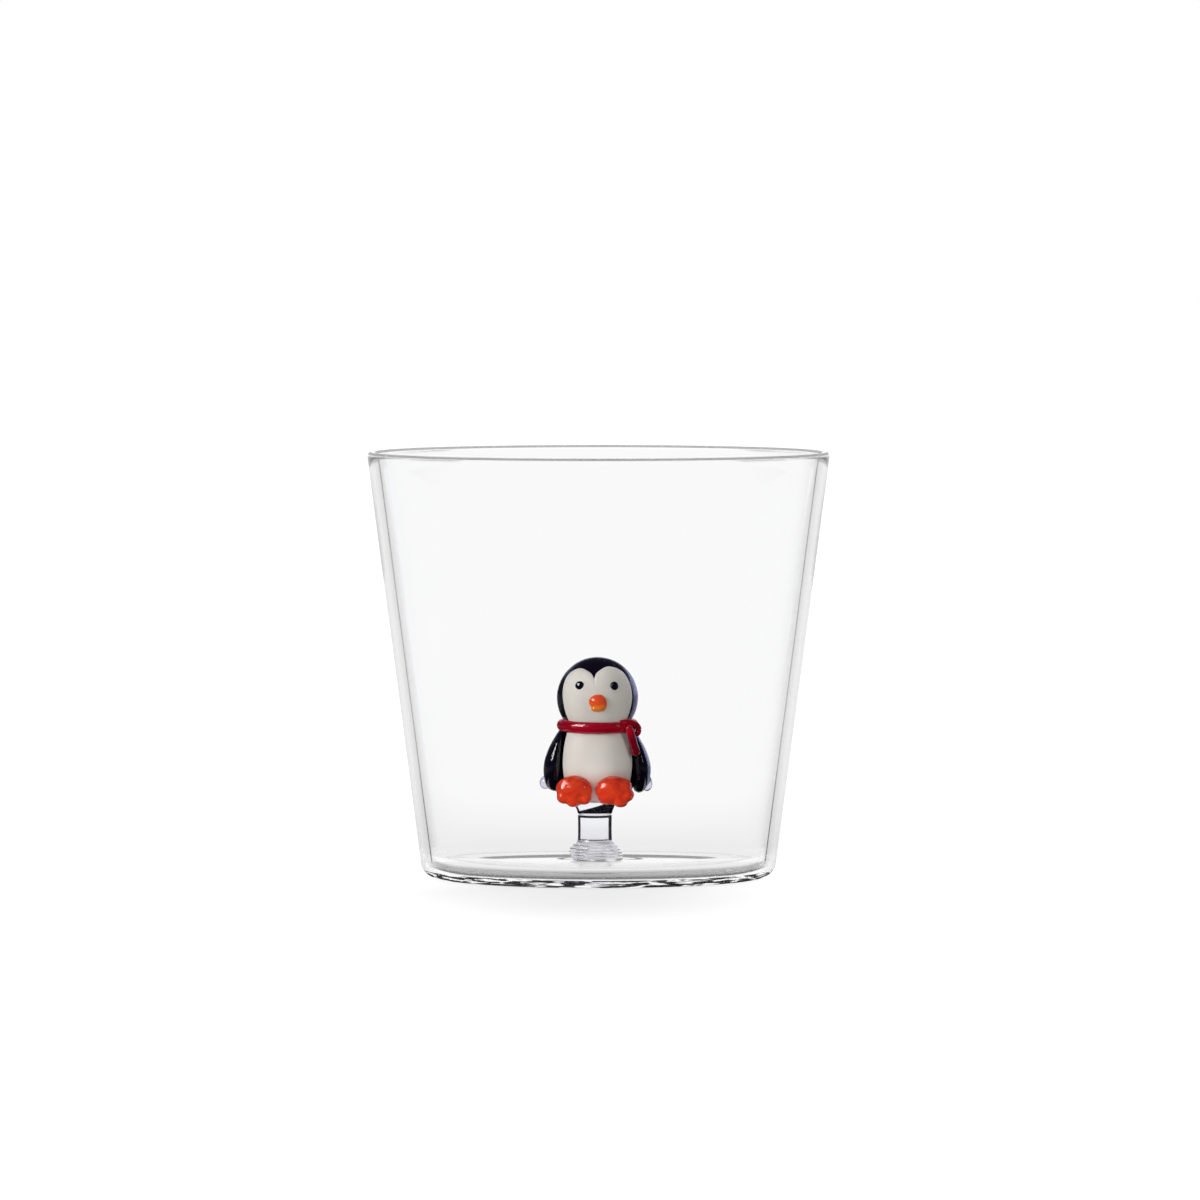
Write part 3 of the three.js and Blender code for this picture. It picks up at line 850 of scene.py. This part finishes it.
def hoop(turnings, middle, half, z):
    """A level oval of points about a middle, with half sizes to the side and to the back."""
    x, y = middle[0] + half[0] * np.cos(turnings), middle[1] + half[1] * np.sin(turnings)
    return np.stack([x, y, np.full_like(turnings, z)], 1)


def egg_radius(z):
    """Half width of the body at a height."""
    h = np.clip(np.asarray(z, float) - BODY_FOOT, 0, BODY_TOP - BODY_FOOT)
    below = np.clip((WAIST - h) / WAIST, 0, 1)
    above = np.clip((h - WAIST) / (BODY_TOP - BODY_FOOT - WAIST), 0, 1)
    low = SEAT_RADIUS + (BODY_RADIUS - SEAT_RADIUS) * np.sqrt(1 - below**2.4)
    high = NECK_RADIUS + (BODY_RADIUS - NECK_RADIUS) * np.sqrt(1 - above**2.2)
    return np.where(h < WAIST, low, high)


def make_body():
    turnings = np.linspace(0, FULL_TURN, 128, endpoint=False)
    heights = BODY_FOOT + (BODY_TOP + 0.4 - BODY_FOOT) * (1 - np.cos(np.linspace(0, math.pi, 60))) / 2
    rings = []
    for z in heights:
        r = float(egg_radius(z))
        rings.append(hoop(turnings, (FIGURE_X, 0), (r, BODY_DEPTH_SHARE * r), z))
    rings.insert(0, rings[0] * [0.72, 0.72, 1] + [FIGURE_X * 0.28, 0, -0.16])
    mesh = loft("black_body", rings, (FIGURE_X, 0, BODY_FOOT - 0.2), (FIGURE_X, 0, BODY_TOP + 0.5))
    return set_piece("black_body", mesh, BLACK, "black_glass", "body")


def make_head():
    turnings = np.linspace(0, FULL_TURN, 144, endpoint=False)
    rings = []
    for tilt in np.radians(np.linspace(-62, 88.5, 78)):
        r = HEAD_RADIUS * math.cos(tilt)
        z = HEAD_Z + HEAD_RADIUS * math.sin(tilt)
        ring = hoop(turnings, (FIGURE_X, 0), (r, r), z)
        out = ring - [FIGURE_X, 0, HEAD_Z]
        rings.append(ring + out / HEAD_RADIUS * (0.04 * ripple(ring, 9, 3))[:, None])
    mesh = loft("black_head", rings, (FIGURE_X, 0, HEAD_Z - 7.1), (FIGURE_X, 0, HEAD_Z + HEAD_RADIUS))
    return set_piece("black_head", mesh, BLACK, "black_glass", "head")


# white face and belly, dabs of white laid over the black


def dab(name, outline, middle, base, thickness, rounding, around=264, rows=30):
    """A dab of glass with a given front outline, laid on a base surface and rounded at its edge.
    base gives points and outward directions for front positions."""
    spokes = outline - middle
    angles = np.arctan2(spokes[:, 1], spokes[:, 0])
    order = np.argsort(angles)
    lengths = np.linalg.norm(spokes, axis=1)
    turnings = np.linspace(-math.pi, math.pi, around, endpoint=False)
    notch = angles[np.argmin(np.where(spokes[:, 1] > 0, lengths, 1e9))]
    turnings[np.argmin(np.abs(turnings - notch))] = notch
    reach = np.interp(turnings, angles[order], lengths[order], period=FULL_TURN)
    spread = 1 - (1 - np.linspace(0, 1, rows + 1)[1:]) ** 2.2
    rings = []
    for s in spread:
        flat = middle + np.stack([np.cos(turnings), np.sin(turnings)], 1) * (reach * s)[:, None]
        points, out = base(flat)
        lift = thickness * max(0.0, 1 - s**rounding) ** 0.5
        lift = lift + 0.03 * ripple(points, 5, 8) * (1 - s**6)
        rings.append(points + out * np.reshape(lift, (-1, 1)))
    rim = middle + np.stack([np.cos(turnings), np.sin(turnings)], 1) * (reach * 0.985)[:, None]
    points, out = base(rim)
    rings.append(points - 0.3 * out)
    centre, out = base(np.array([middle]))
    return loft(name, rings, tuple(centre[0] + thickness * out[0]), tuple(centre[0] - 1.4 * out[0]))


def head_front(flat):
    ball = HEAD_RADIUS
    u, v = flat[:, 0] - FIGURE_X, flat[:, 1] - HEAD_Z
    depth = np.sqrt(np.maximum(ball**2 - u**2 - v**2, 0.05))
    out = np.stack([u, -depth, v], 1) / ball
    return np.array([FIGURE_X, 0, HEAD_Z]) + out * ball, out


def body_front(flat):
    u, z = flat[:, 0] - FIGURE_X, flat[:, 1]

    def depth(u, z):
        return -BODY_DEPTH_SHARE * np.sqrt(np.maximum(egg_radius(z) ** 2 - u**2, 0.05))

    y = depth(u, z)
    across = (depth(u + 0.02, z) - depth(u - 0.02, z)) / 0.04
    up = (depth(u, z + 0.02) - depth(u, z - 0.02)) / 0.04
    out = np.stack([across, -np.ones_like(y), up], 1)
    out /= np.linalg.norm(out, axis=1)[:, None]
    return np.stack([u + FIGURE_X, y, z], 1), out


def make_face():
    left = smooth_through(
        [
            (-0.54, -0.84), (-0.775, -0.34), (-0.845, 0.19), (-0.715, 0.57), (-0.43, 0.74),
            (-0.17, 0.64), (-0.08, 0.5),
        ],
    )
    right = smooth_through(
        [
            (-0.08, 0.5), (0.0, 0.655), (0.28, 0.785), (0.64, 0.625), (0.835, 0.17), (0.775, -0.34),
            (0.54, -0.84),
        ],
    )
    foot = np.stack([np.linspace(0.54, -0.54, 12)[1:-1], np.full(10, -0.84)], 1)
    outline = np.vstack([left, right[1:], foot]) * HEAD_RADIUS + [FIGURE_X, HEAD_Z]
    mesh = dab("white_face", outline, np.array([FIGURE_X, HEAD_Z]), head_front, 0.8, 5)
    return set_piece("white_face", mesh, WHITE, "white_glass", "face")


def make_belly():
    side = [
        (5.2, 29.4), (5.75, 28.4), (6.3, 26.0), (6.6, 22.8), (6.45, 20.2), (6.0, 18.2), (5.0, 16.6),
        (4.0, 15.6), (3.0, 15.05), (0.0, 14.95),
    ]
    right = smooth_through(side)
    left = right[::-1][1:] * [-1, 1]
    top = np.stack([np.linspace(-5.2, 5.2, 14)[1:-1], np.full(12, 29.4)], 1)
    outline = np.vstack([right, left, top]) + [FIGURE_X, 0]
    mesh = dab("white_belly", outline, np.array([FIGURE_X, 22.2]), body_front, 1.1, 4)
    return set_piece("white_belly", mesh, WHITE, "white_glass", "belly")


# eyes, beak, wings, feet and drops


def make_eyes():
    for name, node, x, z, half, seed in (
        ("left_eye_bead", "left_eye", -3.66, 37.85, (0.9, 0.62, 0.82), 4),
        ("right_eye_bead", "right_eye", 3.06, 37.76, (0.82, 0.62, 0.86), 6),
    ):
        u, v = x - FIGURE_X, z - HEAD_Z
        skin = HEAD_RADIUS + 0.72
        centre = (x, -math.sqrt(skin**2 - u**2 - v**2), z)
        spin = math.degrees(math.atan2(u, -centre[1]))
        nod = -math.degrees(math.asin(v / skin))
        mesh = run_together(name, centre, [(centre, half, spin, nod, 0)], 0.1, 22, 0.015, seed)
        set_piece(name, mesh, BLACK, "black_glass", node)


def make_beak():
    lumps = [
        ((-0.16, -8.6, 34.72), (1.7, 1.3, 1.45)),
        ((0.1, -8.6, 33.75), (1.45, 1.2, 0.98)),
        ((-0.72, -8.7, 33.38), (0.7, 0.9, 0.6)),
        ((0.75, -8.55, 34.1), (0.9, 1.1, 1.15)),
    ]
    mesh = run_together("orange_beak", (0.0, -8.6, 34.3), lumps, 0.14, 34, 0.03, 12)
    return set_piece("orange_beak", mesh, BEAK, "beak_glass", "beak")


def make_wing(name, node, side, rows):
    """A teardrop drawn down the body's side, from rows of its height, outer edge, inner edge and
    half depth."""
    rows = np.array(rows)
    heights, outer, _, deep = smooth_through(rows).T
    inner = np.interp(-heights, -rows[:, 0], rows[:, 2])
    turnings = np.linspace(0, FULL_TURN, 72, endpoint=False)
    away = hoop(turnings, (0, 0), (side, 1), 0)
    rings = []
    for z, o, i, d in zip(heights, outer, inner, deep):
        ring = hoop(turnings, (side * (o + i) / 2, 0.25), (side * (o - i) / 2, d), z)
        rings.append(ring + away * (0.04 * ripple(ring, 6, 20 + side))[:, None])
    first = rings[0].mean(0) + [-side * 0.25, 0, 0.3]
    last = rings[-1].mean(0) + [0, 0, -0.12]
    mesh = loft(name, rings, first, last)
    return set_piece(name, mesh, BLACK, "black_glass", node)


def make_wings():
    left = [
        (29.1, 7.3, 6.3, 0.7), (28.5, 7.85, 6.3, 1.5), (26.7, 9.0, 6.45, 2.9), (25.2, 9.75, 6.55, 3.55),
        (23.2, 10.45, 6.65, 4.1), (21.3, 10.72, 6.7, 4.2), (19.6, 10.64, 6.75, 3.9),
        (18.1, 10.28, 6.95, 3.0), (17.25, 9.6, 7.5, 1.9), (16.9, 8.95, 8.0, 0.9),
    ]
    right = [
        (28.9, 6.9, 6.0, 0.7), (28.2, 7.45, 6.05, 1.5), (26.5, 8.45, 6.15, 2.9),
        (25.1, 9.2, 6.25, 3.55), (22.9, 9.95, 6.35, 4.1), (21.1, 10.2, 6.4, 4.2),
        (19.5, 10.05, 6.45, 3.9), (17.9, 9.55, 6.6, 3.0), (16.95, 8.85, 7.0, 1.9),
        (16.6, 8.3, 7.5, 0.9),
    ]
    make_wing("left_black_wing", "left_wing", -1, left)
    make_wing("right_black_wing", "right_wing", 1, right)


def make_feet():
    left = [
        ((-4.75, -7.3, 17.5), (3.5, 2.3, 2.8)),
        ((-6.75, -7.5, 16.1), (1.35, 1.75, 1.25)),
        ((-4.75, -7.6, 15.3), (1.35, 1.75, 1.15)),
        ((-2.65, -7.5, 15.9), (1.3, 1.75, 1.2)),
    ]
    right = [
        ((2.8, -7.3, 17.5), (3.4, 2.3, 2.75)),
        ((4.3, -7.6, 15.3), (1.45, 1.75, 1.15)),
        ((5.5, -7.5, 16.6), (1.4, 1.75, 1.35)),
        ((4.95, -7.4, 18.3), (1.4, 1.7, 1.35)),
        ((1.8, -7.6, 15.8), (1.8, 1.75, 1.15)),
    ]
    for name, node, middle, lumps, seed in (
        ("left_orange_foot", "left_foot", (-4.7, -7.4, 17.1), left, 31),
        ("right_orange_foot", "right_foot", (3.4, -7.4, 17.1), right, 37),
    ):
        mesh = run_together(name, middle, lumps, 0.45, 56, 0.085, seed)
        set_piece(name, mesh, ORANGE, "orange_glass", node)


def make_drops():
    left = [((-10.35, 1.6, 18.45), (1.15, 1.4, 1.3), 0, 0, 20)]
    right = [((9.2, 1.6, 18.6), (1.25, 1.6, 1.9), 0, 0, -16)]
    for name, node, lumps, seed in (
        ("left_clear_drop", "left_drop", left, 41), ("right_clear_drop", "right_drop", right, 43)
    ):
        mesh = run_together(name, lumps[0][0], lumps, 0.1, 24, 0.03, seed)
        set_piece(name, mesh, DROP, "clear_glass", node)


# the red scarf, one rod wound round the neck with a folded end and a hanging end


def wound_rod_tree():
    """Draws a rod of glass along a path, with rounded ends where the path is open."""
    sizes = {
        "Rod Radius": "Float", "Upright Share": "Float", "Points Along": "Int", "Points Around": "Int",
        "Round Ends": "Bool", "End Swell": "Float", "Glass": "Material",
    }
    tree, given = open_shape_tree("wound_rod", "Path", sizes)
    path = place(
        tree, "GeometryNodeResampleCurve", {"Curve": given["Path"], "Count": given["Points Along"]}
    )
    path = place(tree, "GeometryNodeSetCurveNormal", {"Curve": path}, mode="Z_UP")
    along = place(tree, "GeometryNodeSplineParameter")
    length = place(tree, "GeometryNodeCurveLength", {0: path})
    to_end = reckon("MINIMUM", along["Factor"], 1 - along["Factor"]) * length
    inward = reckon("SUBTRACT", 1.0, to_end / given["Rod Radius"], clamp=True)
    rounded = reckon("SQRT", 1.002 - inward * inward)
    swell = 1.0 + given["End Swell"] * along["Factor"]
    open_end = rounded * swell
    share = place(
        tree,
        "GeometryNodeSwitch",
        {"Switch": given["Round Ends"], "False": 1.0, "True": open_end},
        input_type="FLOAT",
    )
    radius = share * given["Rod Radius"]
    ring = place(
        tree,
        "GeometryNodeCurvePrimitiveCircle",
        {"Resolution": given["Points Around"], "Radius": 1.0},
        mode="RADIUS",
    )
    squash = place(tree, "ShaderNodeCombineXYZ", {0: 1.0, 1: given["Upright Share"], 2: 1.0})
    ring = place(tree, "GeometryNodeTransform", {"Geometry": ring, "Scale": squash})
    rod = place(
        tree,
        "GeometryNodeCurveToMesh",
        {"Curve": path, "Profile Curve": ring, "Scale": radius, "Fill Caps": given["Round Ends"]},
    )
    return close_shape_tree(tree, rod, given["Glass"])


def path_object(name, points, closed):
    curve = bpy.data.curves.new(name, "CURVE")
    curve.dimensions = "3D"
    line = curve.splines.new("POLY")
    line.points.add(len(points) - 1)
    for spot, (x, y, z) in zip(line.points, points):
        spot.co = (x * MM, y * MM, z * MM, 1)
    line.use_cyclic_u = closed
    path = bpy.data.objects.new(name, curve)
    scene.collection.objects.link(path)
    return path


def make_scarf():
    tree = wound_rod_tree()
    band = []
    for a in np.linspace(0, FULL_TURN, 96, endpoint=False):
        reach = 6.82 + 0.06 * math.sin(3 * a + 1)
        height = 29.72 + 0.1 * math.sin(a) + 0.05 * math.cos(2 * a)
        band.append((FIGURE_X + reach * math.cos(a), reach * math.sin(a), height))
    curl = smooth_through(
        [
            (3.6, -5.95, 30.2), (4.9, -5.3, 30.42), (6.2, -4.3, 30.4), (7.2, -3.4, 30.0),
            (7.75, -3.0, 29.3), (7.72, -3.0, 28.55), (7.35, -3.2, 28.05), (6.95, -3.4, 27.9),
        ],
    )
    tail = smooth_through(
        [
            (5.6, -5.6, 30.0), (6.1, -5.5, 28.9), (6.45, -5.35, 27.6), (6.8, -5.1, 26.2),
            (7.15, -4.8, 25.0), (7.35, -4.6, 23.95),
        ],
    )
    for name, node, points, closed, radius, upright, swell in (
        ("red_scarf_band", "scarf_band", band, True, 1.16, 1.06, 0.0),
        ("red_scarf_curl", "scarf_curl", curl, False, 0.8, 1.0, -0.35),
        ("red_scarf_tail", "scarf_tail", tail, False, 0.76, 1.0, 0.16),
    ):
        values = {
            "Rod Radius": radius * MM,
            "Upright Share": upright,
            "Points Along": 180 if closed else 90,
            "Points Around": 40,
            "Round Ends": not closed,
            "End Swell": swell,
            "Glass": RED,
        }
        mesh = grow(path_object(name + "_path", points, closed), tree, values)
        set_piece(name, mesh, RED, "red_glass", node)


make_tumbler_and_post()
make_body()
make_head()
make_face()
make_belly()
make_eyes()
make_beak()
make_scarf()
make_wings()
make_feet()
make_drops()


# white table, studio surround, lamps and camera


def seen_through_glass(ray):
    """1 for rays that come straight off or through glass, 0 once they have met a dull surface."""
    shiny = strongest(ray["Is Glossy Ray"], ray["Is Transmission Ray"])
    dull = ray["Diffuse Depth"] < 0.5
    return shiny * dull


def off_the_figure(ray, open_top=0.0):
    """1 for what the glossy figure mirrors: a reflected ray that has left the glass again,
    through the wall or, by the share given, through the open top."""
    bounces, walls = ray["Glossy Depth"], ray["Transmission Depth"]
    mirrored = (bounces > 0.5) * (bounces < 1.5)
    through_wall = (walls > 2.5) * (walls < 4.5)
    return mirrored * strongest(through_wall, (walls > 1.5) * open_top)


def make_table():
    """A white table with a painted soft shadow in front of the tumbler, where its glow is weaker. It is
    plainer through glass, with a painted shadow close round the tumbler, and dim in what the figure
    mirrors, apart from a ring close behind the tumbler."""
    shell = bmesh.new()
    bmesh.ops.create_circle(shell, cap_ends=True, segments=96, radius=4.0)
    mesh = bpy.data.meshes.new("white_table")
    shell.to_mesh(mesh)
    shell.free()
    table = bpy.data.objects.new("white_table", mesh)
    scene.collection.objects.link(table)
    table.location.z = -0.00005
    finish, coords = new_finish("white_table")
    tree = coords.tree
    ray = place(tree, "ShaderNodeLightPath")
    x, y, _ = parts(coords)
    aside = x * 2.0
    ahead = y + 0.06
    shadow_reach = length_of(aside, ahead)
    cloth = mottle(coords, 9.0)
    dull = place(
        tree,
        "ShaderNodeBsdfDiffuse",
        {"Color": two_tone(cloth, (0.2, (0.79, 0.79, 0.79)), (0.8, (0.81, 0.81, 0.81)))},
    )
    # painted shadow: the glow the camera sees weakens towards the front of the tumbler; the lamps' own
    # shadow falls on the grey diffuse added to it
    white = place(
        tree,
        "ShaderNodeEmission",
        {"Color": (1, 1, 1, 1), "Strength": ease(shadow_reach, 0, 0.16, 0.58, 1.0)},
    )
    share = place(tree, "ShaderNodeBsdfDiffuse", {"Color": (0.35, 0.35, 0.35, 1)})
    seen = place(tree, "ShaderNodeAddShader", {0: white, 1: share})
    from_middle = length_of(x, y)
    behind = between(from_middle, 0.03, 0.052, 0.006) * ease(y, 0.0, 0.02)
    around = reckon("ARCTAN2", x, y)
    off_figure = off_the_figure(ray) * (1 - behind)
    cool = off_figure * between(around, 0.35, 0.87, 0.1) * ease(from_middle, 0.06, 0.12)
    # painted shadow for what glass shows: the table dims close to the tumbler
    plain = ease(from_middle, 0.05, 0.25, 0.85, 0.957)
    dimmed = plain + cool * 0.75 - off_figure * 0.85
    near = place(
        tree,
        "ShaderNodeEmission",
        {"Color": blend_colour(cool, (1, 1, 1, 1), (0.6, 0.6, 1, 1)), "Strength": dimmed},
    )
    through = blend_shaders(seen_through_glass(ray), dull, near)
    whole = blend_shaders(ray["Is Camera Ray"], through, seen)
    place(tree, "ShaderNodeOutputMaterial", {0: whole})
    mesh.materials.append(finish)
    table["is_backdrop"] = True


def make_surround():
    """White for the camera and for what glass shows, a dark room with light panels for what the
    figure mirrors, and plain soft light for dull surfaces."""
    world = bpy.data.worlds.new("studio_surround")
    scene.world = world
    world.use_nodes = True
    tree = world.node_tree
    tree.nodes.clear()
    ray = place(tree, "ShaderNodeLightPath")
    x, y, z = parts(place(tree, "ShaderNodeTexCoord")["Generated"])
    around = reckon("ARCTAN2", x, y)

    def panel(left, right, low, high, soft, level):
        spread = between(around, math.radians(left), math.radians(right), math.radians(soft))
        return spread * between(z, low, high, soft / 100) * level

    tent = place(tree, "ShaderNodeBackground", {"Color": (1, 1, 1, 1), "Strength": 1.0})
    softboxes = strongest(
        panel(-134, -102, 0.28, 0.75, 3, 13.0),
        panel(-152, -143, 0.4, 0.53, 2, 5.0),
        panel(113, 124, 0.25, 0.45, 3, 2.5),
        panel(-16, 16, -0.2, 0.25, 3, 1.0),
    )
    backdrop = strongest(panel(20, 50, -0.2, 0.3, 3, 1.6), panel(-40, 50, 0.28, 0.42, 5, 0.4))
    mirrored = place(
        tree,
        "ShaderNodeBackground",
        {
            "Color": blend_colour(ease(backdrop, 0.02, 0.3), (1, 1, 1, 1), (0.6, 0.6, 1, 1)),
            "Strength": strongest(softboxes, backdrop, 0.03),
        },
    )
    for_glass = blend_shaders(off_the_figure(ray, ease(z, 0.35, 0.5)), tent, mirrored)
    soft = place(tree, "ShaderNodeBackground", {"Color": (0.97, 0.98, 1, 1), "Strength": 0.42})
    first = blend_shaders(seen_through_glass(ray), soft, for_glass)
    second = blend_shaders(ray["Is Camera Ray"], first, tent)
    place(tree, "ShaderNodeOutputWorld", {0: second})


def make_lamp(name, spot, aim, width, height, power, colour=(1, 1, 1)):
    data = bpy.data.lights.new(name, "AREA")
    data.shape = "RECTANGLE"
    data.size, data.size_y = width, height
    data.energy = power
    data.color = colour
    data.cycles.use_multiple_importance_sampling = False
    lamp = bpy.data.objects.new(name, data)
    scene.collection.objects.link(lamp)
    lamp.location = spot
    lamp.rotation_euler = (Vector(aim) - Vector(spot)).to_track_quat("-Z", "Y").to_euler()
    lamp.visible_camera = False
    lamp.visible_transmission = False
    lamp.visible_glossy = False


def make_camera():
    data = bpy.data.cameras.new("photo_camera")
    data.angle = 2 * math.atan(HALF_VIEW / VIEW_DISTANCE)
    data.clip_start = 0.05
    camera = bpy.data.objects.new("photo_camera", data)
    scene.collection.objects.link(camera)
    camera.location = (0.0003, -2.0, 0.144)
    aim = Vector((0.0003, 0.0, 0.054))
    camera.rotation_euler = (aim - camera.location).to_track_quat("-Z", "Y").to_euler()
    scene.camera = camera


make_table()
make_surround()
FIGURE = (0, 0, 0.028)
make_lamp("left_softbox", (-0.92, -0.48, 0.24), FIGURE, 0.4, 0.5, 9.2, (1, 0.985, 0.95))
make_lamp("right_softbox", (0.85, -0.52, 0.24), FIGURE, 0.3, 0.5, 3.0, (1, 0.985, 0.95))
make_lamp("top_softbox", (0.05, -0.1, 0.95), FIGURE, 0.3, 0.3, 0.5)
make_lamp("right_edge_lamp", (0.42, 0.62, 0.42), FIGURE, 0.3, 0.4, 3.5, (0.9, 0.9, 1))
make_lamp("table_bounce", (-0.05, -0.43, 0.03), FIGURE, 0.4, 0.05, 0.45)
make_lamp("floor_bounce", (0.0, -0.02, 0.006), (0, -0.003, 0.019), 0.03, 0.015, 0.0015)
make_camera()
scene.cycles.caustics_reflective = False
scene.cycles.caustics_refractive = False
# light runs a long way inside a glass wall, and fewer bounces leave it black
scene.cycles.max_bounces = 96
scene.cycles.glossy_bounces = 96
scene.cycles.transmission_bounces = 32
scene.view_settings.view_transform = "Standard"

({
        "cad": [[float(v) for v in corner] for corner in cad_box],
        "visual": [[float(v) for v in corner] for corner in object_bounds()],
    })
